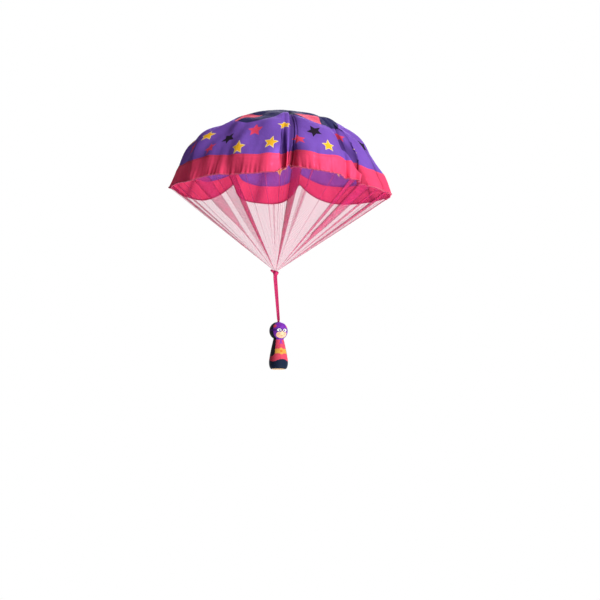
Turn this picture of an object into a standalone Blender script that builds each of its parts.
"""Toy parachute: a satin canopy, a tulle skirt gathered into a knot, a satin ribbon and a wooden figure.

Metres, +Z up. The origin is the canopy's crown, where the toy is held up, and the front is towards -Y.
Azimuths are degrees round the canopy's axis: 0 is the front, and +90 is the right side.
The canopy and its skirt lean a little to the right, and the ribbon slants down to the right.
"""

import bisect
import math

import bmesh
import bpy
from mathutils import Matrix, Vector

# Clearances
GAP = 0.0003
LINK_GAP = 0.0006
CUT_OVERRUN = 0.004

# Canopy: its rim's radius, and the crown's height over the rim's mean plane
CANOPY_RADIUS = 0.208
CANOPY_HEIGHT = 0.146
CANOPY_CLOTH = 0.0008
CANOPY_LEAN_DEG = 3.2
BAND_WIDTH = 0.034
BAND_CLOTH = 0.0009
SEAM_RADIUS = 0.0013

# Exponents of the canopy's profile: a flat crown over a steep wall
PROFILE_ACROSS = 2.6
PROFILE_UP = 1.3

# Each crease or ridge of the canopy, anticlockwise from the back left seen from above: its azimuth at the
# rim, how far it turns aside half-way up, how far it is drawn in and raised at the rim, and the same two for
# the middle of the cloth before the next one. Drawn in is a share of the radius, raised one of the height.
CREASE_SHARES = (
    (-148.0, 0.0, 0.160, 0.165, 0.006, -0.096),
    (-97.0, -2.0, -0.025, -0.058, 0.012, -0.100),
    (-53.0, -9.0, -0.008, -0.110, 0.070, -0.040),
    (0.6, -1.5, 0.108, 0.083, 0.130, 0.084),
    (2.0, -1.5, 0.150, 0.085, 0.122, 0.085),
    (5.8, 3.0, 0.150, 0.085, 0.124, 0.083),
    (7.6, 3.5, 0.102, 0.078, 0.000, 0.040),
    (39.0, 4.5, 0.082, 0.010, 0.030, 0.006),
    (45.0, 6.0, -0.022, -0.015, 0.016, -0.020),
    (47.5, 6.0, 0.052, -0.030, 0.022, -0.035),
    (52.5, 7.0, 0.005, -0.045, -0.004, -0.045),
    (97.0, 0.0, 0.015, -0.058, 0.004, -0.014),
    (168.6, 0.0, 0.160, 0.225, 0.016, -0.022),
)
CREASE_AT_CROWN_SHARE = 0.4
RISE_EXPONENT = 3
BILLOW_EXPONENT = 1.7

# Where the open cloth leaves the plain dome: the place's azimuth and its share of the way to the rim, its
# spread in degrees and as a share, and how far it stands out and up, as shares of the radius and the height
SWELL_SHARES = (
    (-75.0, 0.36, 50.0, 0.22, -0.010, -0.060),
    (-80.0, 0.66, 35.0, 0.18, 0.035, 0.000),
    (30.0, 0.28, 60.0, 0.25, 0.000, -0.030),
    (-10.0, 0.20, 80.0, 0.20, 0.000, -0.020),
    (92.0, 0.80, 35.0, 0.22, -0.040, 0.000),
)
AZIMUTH_STEP_DEG = 5.5
SEAM_PROBE_DEG = 1.0

# Net skirt
NET_HEIGHT = 0.160
NET_CLOTH = 0.0006
NET_TIP_RADIUS = 0.0034

# Gathered end of the net, and the knot that holds it
GATHER_RADIUS = 0.0022
GATHER_LENGTH = 0.0055
KNOT_RADIUS = 0.0050
KNOT_HEIGHT = 0.0080
KNOT_WALL = 0.0011
KNOT_STUB_LENGTH = 0.0045
STUB_RADIUS = 0.0018
STUB_TIP_RADIUS = 0.0003

# Ribbon: one flat strip, in four links that bend where the strip does
RIBBON_CLOTH = 0.0006
RIBBON_TOP_WIDTH = 0.0075
RIBBON_END_WIDTH = 0.0055
RIBBON_SLANT_DEG = 4.4
RIBBON_UPPER = 0.0260
RIBBON_MIDDLE = 0.0260
RIBBON_LOWER = 0.0180
RIBBON_END = 0.0080
RIBBON_TIP_WIDTH = 0.0005
RIBBON_POINT = 0.0035

# Ribbon's tail, fixed in the head
TAIL_RADIUS = 0.0017
TAIL_DEPTH = 0.0110
TAIL_STUB_LENGTH = 0.0035

# Figure
FIGURE_HEIGHT = 0.0900
HEAD_RADIUS = 0.0174
NECK_RADIUS = 0.0095
WAIST_RADIUS = 0.0180
WAIST_HEIGHT = 0.0140
FOOT_RADIUS = 0.0120
TAPER_EXPONENT = 1.25
FOOT_EXPONENT = 2.4
DOWEL_RADIUS = 0.0030
DOWEL_IN_HEAD = 0.0090
DOWEL_IN_BODY = 0.0120

# Fineness of the pieces
TURNED_STEPS = 32
BALL_RINGS = 16
KNOT_RINGS = 8
SMOOTH_ANGLE_DEG = 40.0
MERGE_DISTANCE = 0.00001


def collection(name):
    made = bpy.data.collections.new(name)
    bpy.context.scene.collection.children.link(made)
    return made


for old in list(bpy.data.objects):
    bpy.data.objects.remove(old, do_unlink=True)
PARTS = collection("toy_parachute")
CUTTERS = collection("cutters")


def srgb(red, green, blue):
    """A colour given in 8-bit sRGB, as the linear colour that a shader takes."""
    shares = (red / 255, green / 255, blue / 255)
    return tuple(((c + 0.055) / 1.055) ** 2.4 if c > 0.04045 else c / 12.92 for c in shares)


def material(name, colour, roughness, metallic=0.0):
    made = bpy.data.materials.new(name)
    made.use_nodes = True
    shader = made.node_tree.nodes["Principled BSDF"]
    shader.inputs["Base Color"].default_value = (*colour, 1)
    shader.inputs["Roughness"].default_value = roughness
    shader.inputs["Metallic"].default_value = metallic
    made.diffuse_color = (*colour, 1)
    return made


VIOLET_SATIN = material("violet_satin", srgb(112, 72, 172), 0.45)
PINK_SATIN = material("pink_satin", srgb(232, 62, 104), 0.45)
PINK_THREAD = material("pink_thread", srgb(196, 52, 92), 0.85)
PINK_TULLE = material("pink_tulle", srgb(242, 160, 195), 0.8)
DARK_TULLE = material("gathered_tulle", srgb(205, 70, 120), 0.8)
PINK_RIBBON = material("pink_ribbon", srgb(214, 52, 110), 0.4)
PURPLE_PAINT = material("purple_paint", srgb(104, 40, 150), 0.35)
PINK_PAINT = material("pink_paint", srgb(236, 82, 112), 0.35)
BARE_WOOD = material("bare_wood", srgb(214, 180, 134), 0.7)


def empty(name, place, rotation=(0, 0, 0)):
    made = bpy.data.objects.new(name, None)
    made.location = place
    made.rotation_euler = rotation
    PARTS.objects.link(made)
    return made


def add(name, data, finish, parent=None, into=None):
    """An object from a mesh or a curve, in the parts unless another collection is named."""
    made = bpy.data.objects.new(name, data)
    (into or PARTS).objects.link(made)
    if finish:
        data.materials.append(finish)
    made.parent = parent
    return made


def shade(obj):
    obj.data.shade_smooth()
    obj.data.set_sharp_from_angle(angle=math.radians(SMOOTH_ANGLE_DEG))


def solidify(obj, thickness):
    """Gives an open sheet its thickness, on its inner side."""
    made = obj.modifiers.new("cloth", "SOLIDIFY")
    made.thickness = thickness
    made.offset = -1
    made.use_even_offset = True


def sheet(name, rings, finish, parent, pole=None):
    """A sheet through closed rings of points, each point a (x, y, z), and a pole that closes its top."""
    made = bmesh.new()
    rows = [[made.verts.new(point) for point in ring] for ring in rings]
    count = len(rows[0])
    for upper, lower in zip(rows, rows[1:]):
        for n in range(count):
            after = (n + 1) % count
            made.faces.new((upper[n], lower[n], lower[after], upper[after]))
    if pole:
        top = made.verts.new(pole)
        for n in range(count):
            made.faces.new((top, rows[0][n], rows[0][(n + 1) % count]))
    data = bpy.data.meshes.new(name)
    made.to_mesh(data)
    made.free()
    obj = add(name, data, finish, parent)
    shade(obj)
    return obj


def turned(name, profile, finish, parent, into=None):
    """A solid turned about Z from (radius, height) points, listed down its outer side, axis to axis."""
    data = bpy.data.meshes.new(name)
    data.from_pydata([(r, 0, z) for r, z in profile], [(n, n + 1) for n in range(len(profile) - 1)], [])
    obj = add(name, data, finish, parent, into)
    screw = obj.modifiers.new("turn", "SCREW")
    screw.steps = TURNED_STEPS
    screw.render_steps = TURNED_STEPS
    screw.use_merge_vertices = True
    screw.merge_threshold = MERGE_DISTANCE
    screw.use_smooth_shade = True
    return obj


def cut(obj, cutter):
    """Cuts one hidden solid out of a piece."""
    cutter.hide_render = True
    cutter.display_type = "WIRE"
    made = obj.modifiers.new(cutter.name, "BOOLEAN")
    made.operation = "DIFFERENCE"
    made.object = cutter


def drill(obj, name, radius, low, high):
    """A round hole along Z between two heights."""
    profile = ((0, high), (radius, high), (radius, low), (0, low))
    cut(obj, turned(name, profile, None, FIGURE_AXIS, into=CUTTERS))


def ball(name, radius, height, finish, into=None):
    """A ball on the figure's axis."""
    data = bpy.data.meshes.new(name)
    made = bmesh.new()
    bmesh.ops.create_uvsphere(made, u_segments=TURNED_STEPS, v_segments=BALL_RINGS, radius=radius)
    made.to_mesh(data)
    made.free()
    obj = add(name, data, finish, FIGURE_AXIS, into)
    obj.location = (0, 0, height)
    shade(obj)
    return obj


def crease_azimuth(crease, share):
    """Where a crease is at a share of the way from crown to rim. It turns aside most half-way."""
    return crease[0] + crease[1] * 4 * share * (1 - share)


def crease_pairs():
    """Each crease with the one after it."""
    first = CREASE_SHARES[0]
    return list(zip(CREASE_SHARES, [*CREASE_SHARES[1:], (first[0] + 360, *first[1:])]))


def crease_and_billow(share, azimuth):
    """How far the cloth is drawn in and raised at the rim, as shares of the radius and the height."""
    first = CREASE_SHARES[0][0]
    turn = (azimuth - first) % 360 + first
    for left, right in crease_pairs():
        end = crease_azimuth(right, share)
        if turn <= end:
            break
    start = crease_azimuth(left, share)
    along = min((turn - start) / (end - start), 1)
    swell = 1 - (1 - math.sin(math.pi * along)) ** BILLOW_EXPONENT
    drawn = (left[2] + (right[2] - left[2]) * along) * (1 - swell) + left[4] * swell
    raised = (left[3] + (right[3] - left[3]) * along) * (1 - swell) + left[5] * swell
    return drawn, raised


def columns(share):
    """Azimuths of the mesh's columns at a share of the way to the rim. They run along the creases."""
    found = []
    for left, right in crease_pairs():
        steps = max(2, round((right[0] - left[0]) / AZIMUTH_STEP_DEG))
        start, end = crease_azimuth(left, share), crease_azimuth(right, share)
        found += [start + (end - start) * n / steps for n in range(steps)]
    return found


def dome_profile(steps=400):
    """The plain dome's profile from crown to rim: (distance walked along the cloth, radius, height) rows."""
    rows = []
    for n in range(steps + 1):
        turn = math.pi / 2 * n / steps
        across = CANOPY_RADIUS * math.sin(turn) ** (2 / PROFILE_ACROSS)
        up = CANOPY_HEIGHT * max(math.cos(turn), 0) ** (2 / PROFILE_UP)
        walked = rows[-1][0] + math.dist(rows[-1][1:], (across, up)) if rows else 0
        rows.append((walked, across, up))
    return rows


DOME = dome_profile()
DOME_ARC = DOME[-1][0]


def profile_point(share):
    """Radius and height over the rim's plane at a share of the way along the cloth from crown to rim."""
    walked = share * DOME_ARC
    n = min(max(bisect.bisect_right(DOME, (walked,)), 1), len(DOME) - 1)
    low, high = DOME[n - 1], DOME[n]
    along = (walked - low[0]) / (high[0] - low[0])
    return low[1] + (high[1] - low[1]) * along, low[2] + (high[2] - low[2]) * along


def share_above_rim(distance):
    """Where the cloth is this far from its rim."""
    return 1 - distance / DOME_ARC


def canopy_point(share, azimuth):
    """A point of the creased canopy, in the canopy's own frame, whose origin is the net's tip."""
    radius, height = profile_point(share)
    drawn, raised = crease_and_billow(share, azimuth)
    radius *= 1 - drawn * (CREASE_AT_CROWN_SHARE + (1 - CREASE_AT_CROWN_SHARE) * share)
    height += CANOPY_HEIGHT * raised * share**RISE_EXPONENT
    for middle, centre, spread, reach, out, rise in SWELL_SHARES:
        turned_by = (azimuth - middle + 180) % 360 - 180
        much = math.exp(-((turned_by / spread) ** 2) - ((share - centre) / reach) ** 2)
        much *= math.sin(math.pi * share)
        radius += CANOPY_RADIUS * out * much
        height += CANOPY_HEIGHT * rise * much
    turn = math.radians(azimuth)
    return Vector((radius * math.sin(turn), -radius * math.cos(turn), NET_HEIGHT + height))


def share_clear_of_seam(way, azimuth):
    """The share of a way from the rim that is just clear of the rolled seam, measured square to the rim."""
    reach = way.length
    for side in (-SEAM_PROBE_DEG, SEAM_PROBE_DEG):
        along_rim = (canopy_point(1, azimuth + side) - canopy_point(1, azimuth)).normalized()
        reach = min(reach, way.cross(along_rim).length)
    return (SEAM_RADIUS + GAP) / reach


def share_beside_seam(azimuth):
    """Where the creased cloth ends, just clear of the rolled seam on its rim."""
    probe = SEAM_RADIUS / DOME_ARC
    way = (canopy_point(1 - probe, azimuth) - canopy_point(1, azimuth)) / probe
    return 1 - share_clear_of_seam(way, azimuth)


def net_point(share, azimuth):
    """A point of the net, on a straight line from the rim to the net's tip."""
    turn = math.radians(azimuth)
    tip = Vector((NET_TIP_RADIUS * math.sin(turn), -NET_TIP_RADIUS * math.cos(turn), 0))
    return canopy_point(1, azimuth).lerp(tip, share)


def between(low, high, count):
    return [low + (high - low) * n / (count - 1) for n in range(count)]


def ribbon_points():
    """Places along the ribbon from its lowest bend up, as distances along it: each link's two ends."""
    found = []
    low = LINK_GAP / 2
    for name, length in (
        ("ribbon_end", RIBBON_END),
        ("ribbon_lower", RIBBON_LOWER),
        ("ribbon_middle", RIBBON_MIDDLE),
        ("ribbon_upper", RIBBON_UPPER),
    ):
        found.append((name, low, low + length))
        low += length + LINK_GAP
    return found, low - LINK_GAP / 2


# Where the frames of the canopy, the ribbon and the figure are, from the crown down
CANOPY_TURN = math.radians(CANOPY_LEAN_DEG)
RIBBON_TURN = -math.radians(RIBBON_SLANT_DEG)
UP = Vector((0, 0, 1))
UP_CANOPY = Matrix.Rotation(CANOPY_TURN, 3, "Y") @ UP
UP_RIBBON = Matrix.Rotation(RIBBON_TURN, 3, "Y") @ UP
LINKS, RIBBON_LENGTH = ribbon_points()
NET_TIP = -UP_CANOPY * (NET_HEIGHT + CANOPY_HEIGHT)
KNOT_TIP = NET_TIP - UP_CANOPY * (GAP + KNOT_HEIGHT + KNOT_STUB_LENGTH)
RIBBON_FOOT = KNOT_TIP - UP_CANOPY * (LINK_GAP / 2) - UP_RIBBON * RIBBON_LENGTH
FIGURE_BASE = RIBBON_FOOT - UP * (LINK_GAP / 2 + TAIL_STUB_LENGTH + FIGURE_HEIGHT)
CANOPY_AXIS = empty("canopy_axis", NET_TIP, (0, CANOPY_TURN, 0))
RIBBON_LINE = empty("ribbon_line", RIBBON_FOOT, (0, RIBBON_TURN, 0))
FIGURE_AXIS = empty("figure_axis", FIGURE_BASE)


def canopy():
    """The printed panel, the pink band below it, and the rolled seam that joins band and net."""
    panel_edge = share_above_rim(BAND_WIDTH + GAP / 2)
    rings = [[canopy_point(s, a) for a in columns(s)] for s in between(0, panel_edge, 9)[1:]]
    panel = sheet("canopy_panel", rings, VIOLET_SATIN, CANOPY_AXIS, pole=(0, 0, NET_HEIGHT + CANOPY_HEIGHT))
    solidify(panel, CANOPY_CLOTH)
    band_top = share_above_rim(BAND_WIDTH - GAP / 2)
    azimuths = columns(1)
    ends = [share_beside_seam(a) for a in azimuths]
    rings = []
    for down in between(0, 1, 4):
        shares = [band_top + (end - band_top) * down for end in ends]
        rings.append([canopy_point(s, columns(s)[n]) for n, s in enumerate(shares)])
    band = sheet("hem_band", rings, PINK_SATIN, CANOPY_AXIS)
    solidify(band, BAND_CLOTH)

    curve = bpy.data.curves.new("rim_seam", "CURVE")
    curve.dimensions = "3D"
    line = curve.splines.new("POLY")
    line.points.add(len(azimuths) - 1)
    for point, azimuth in zip(line.points, azimuths):
        point.co = (*canopy_point(1, azimuth), 1)
    line.use_cyclic_u = True
    curve.bevel_depth = SEAM_RADIUS
    curve.bevel_resolution = 1
    add("rim_seam", curve, PINK_THREAD, CANOPY_AXIS)


def net():
    """The net skirt, a ruled cone from the rim's seam to its tip."""
    azimuths = columns(1)
    starts = [share_clear_of_seam(net_point(1, a) - net_point(0, a), a) for a in azimuths]
    rings = [
        [net_point(start + (1 - start) * down, a) for a, start in zip(azimuths, starts)]
        for down in between(0, 1, 6)
    ]
    skirt = sheet("net_skirt", rings, PINK_TULLE, CANOPY_AXIS)
    solidify(skirt, NET_CLOTH)


def knot():
    """The net's gathered end, in the socket of the knot, whose pointed stub is the ribbon's start."""
    top = -GAP
    turned(
        "net_gather",
        ((0, top), (GATHER_RADIUS, top), (GATHER_RADIUS, top - GATHER_LENGTH), (0, top - GATHER_LENGTH)),
        DARK_TULLE,
        CANOPY_AXIS,
    )
    socket = GATHER_RADIUS + GAP
    socket_floor = top - GATHER_LENGTH - GAP
    waist = socket + KNOT_WALL
    foot = top - KNOT_HEIGHT
    middle = (top + foot) / 2
    turns = [math.pi * n / KNOT_RINGS for n in range(KNOT_RINGS)]
    outer = [
        (waist + (KNOT_RADIUS - waist) * math.sin(turn), middle + KNOT_HEIGHT / 2 * math.cos(turn))
        for turn in turns
    ]
    turned(
        "ribbon_knot",
        [
            (0, socket_floor),
            (socket, socket_floor),
            (socket, top),
            *outer,
            (STUB_RADIUS, foot),
            (STUB_TIP_RADIUS, foot - KNOT_STUB_LENGTH),
            (0, foot - KNOT_STUB_LENGTH),
        ],
        PINK_RIBBON,
        CANOPY_AXIS,
    )


def ribbon_width(height):
    return RIBBON_END_WIDTH + (RIBBON_TOP_WIDTH - RIBBON_END_WIDTH) * height / RIBBON_LENGTH


def ribbon():
    """The flat ribbon, as links that are pointed where they meet, so that each can swing."""
    for name, low, high in LINKS:
        outline = []
        for end, inward in ((low, 1), (high, -1)):
            shoulder = end + inward * RIBBON_POINT
            pair = [(RIBBON_TIP_WIDTH / 2, end), (ribbon_width(shoulder) / 2, shoulder)]
            outline += pair if inward > 0 else pair[::-1]
        outline += [(-x, z) for x, z in outline[::-1]]
        curve = bpy.data.curves.new(name, "CURVE")
        curve.dimensions = "2D"
        curve.fill_mode = "BOTH"
        curve.extrude = RIBBON_CLOTH / 2
        line = curve.splines.new("POLY")
        line.points.add(len(outline) - 1)
        for point, (x, z) in zip(line.points, outline):
            point.co = (x, z - low, 0, 1)
        line.use_cyclic_u = True
        link = add(name, curve, PINK_RIBBON, RIBBON_LINE)
        link.location = (0, 0, low)
        link.rotation_euler = (math.pi / 2, 0, 0)


def body_profile():
    """The figure's body from its neck down to its foot, as (radius, height) points."""
    neck = FIGURE_HEIGHT - HEAD_RADIUS - math.sqrt(HEAD_RADIUS**2 - NECK_RADIUS**2)
    points = [(0, neck)]
    for along in between(1, 0, 9):
        radius = NECK_RADIUS + (WAIST_RADIUS - NECK_RADIUS) * (1 - along**TAPER_EXPONENT)
        points.append((radius, WAIST_HEIGHT + (neck - WAIST_HEIGHT) * along))
    for turn in between(0, math.pi / 2, 8)[1:]:
        across = math.cos(turn) ** (2 / FOOT_EXPONENT) if turn < math.pi / 2 else 0
        down = math.sin(turn) ** (2 / FOOT_EXPONENT)
        points.append((FOOT_RADIUS + (WAIST_RADIUS - FOOT_RADIUS) * across, WAIST_HEIGHT * (1 - down)))
    return [*points, (0, 0)]


def figure():
    """The wooden figure: a turned body, a ball head seated on it, their dowel, and the ribbon's tail."""
    centre = FIGURE_HEIGHT - HEAD_RADIUS
    ball_bottom = centre - HEAD_RADIUS
    dowel_top = ball_bottom + DOWEL_IN_HEAD
    dowel_foot = ball_bottom - DOWEL_IN_BODY
    tail_foot = FIGURE_HEIGHT - TAIL_DEPTH
    tail_tip = FIGURE_HEIGHT + TAIL_STUB_LENGTH

    head = ball("figure_head", HEAD_RADIUS, centre, PURPLE_PAINT)
    drill(head, "tail_hole", TAIL_RADIUS + GAP, tail_foot - GAP, FIGURE_HEIGHT + CUT_OVERRUN)
    drill(head, "head_socket", DOWEL_RADIUS + GAP, ball_bottom - CUT_OVERRUN, dowel_top + GAP)

    body = turned("figure_body", body_profile(), PINK_PAINT, FIGURE_AXIS)
    cut(body, ball("head_seat", HEAD_RADIUS + GAP, centre, None, into=CUTTERS))
    drill(body, "body_socket", DOWEL_RADIUS + GAP, dowel_foot - GAP, centre)

    dowel = ((0, dowel_top), (DOWEL_RADIUS, dowel_top), (DOWEL_RADIUS, dowel_foot), (0, dowel_foot))
    turned("neck_dowel", dowel, BARE_WOOD, FIGURE_AXIS)
    tail = (
        (0, tail_tip),
        (STUB_TIP_RADIUS, tail_tip),
        (TAIL_RADIUS, FIGURE_HEIGHT),
        (TAIL_RADIUS, tail_foot),
        (0, tail_foot),
    )
    turned("ribbon_tail", tail, PINK_RIBBON, FIGURE_AXIS)


canopy()
net()
knot()
ribbon()
figure()
